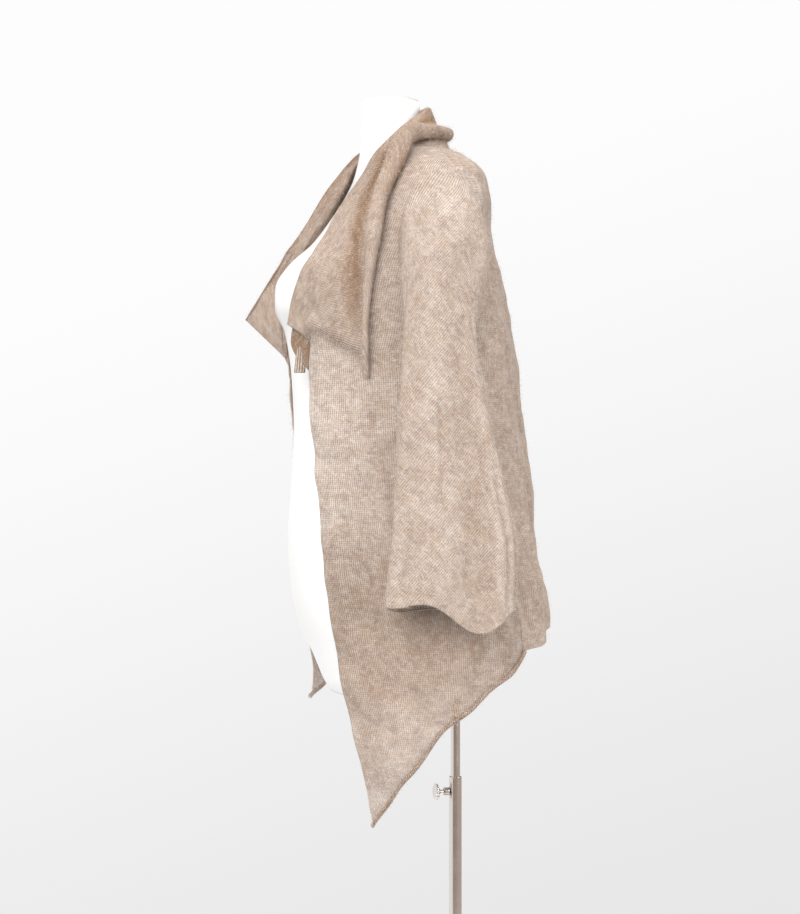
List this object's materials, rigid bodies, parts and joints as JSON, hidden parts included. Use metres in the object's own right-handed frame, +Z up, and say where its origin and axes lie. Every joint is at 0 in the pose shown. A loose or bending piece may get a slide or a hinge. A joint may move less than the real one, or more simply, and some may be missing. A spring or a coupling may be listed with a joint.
{
  "type": "waterfall cardigan on a dress form stand",
  "caption": "Open waterfall cardigan of fine brushed knit, with a folded shawl collar and wide open sleeves, worn by a limbless torso form on a telescopic pole stand.",
  "frame": {"origin": "centre of the base plate's underside, on the pole's axis, at floor level", "axes": "+Z up along the pole, the form faces -Y, and +X is the wearer's left side"},
  "size_m": [0.5296, 0.4681, 1.4958],
  "materials": {
    "brushed_mohair_knit": "matte",
    "white_form_shell": "gloss",
    "satin_steel": "satin",
    "chromed_tube": "polished"
  },
  "bodies": {
    "stand": {"base_plate": "satin_steel", "lower_tube": "chromed_tube", "screw_boss": "satin_steel"},
    "mast": {"pole": "chromed_tube"},
    "torso": {"pole_socket": "satin_steel", "dress_form": "white_form_shell", "neck_cap": "satin_steel", "back": "brushed_mohair_knit", "front_left": "brushed_mohair_knit", "front_right": "brushed_mohair_knit", "sleeve_left": "brushed_mohair_knit", "sleeve_right": "brushed_mohair_knit", "collar": "brushed_mohair_knit"},
    "clamp": {"thumb_screw": "chromed_tube"}
  },
  "joints": [
    {"name": "height", "type": "slide", "parent": "stand", "child": "mast", "axis": [0, 0, 1], "range_m": [-0.1, 0.3]},
    {"name": "turn", "type": "hinge", "parent": "mast", "child": "torso", "pos_m": [0, 0, 0.7117], "axis": [0, 0, 1], "continuous": true},
    {"name": "clamp_screw", "type": "hinge", "parent": "stand", "child": "clamp", "pos_m": [0, -0.0098, 0.508], "axis": [0, -1, 0], "range_deg": [0, 720]}
  ]
}
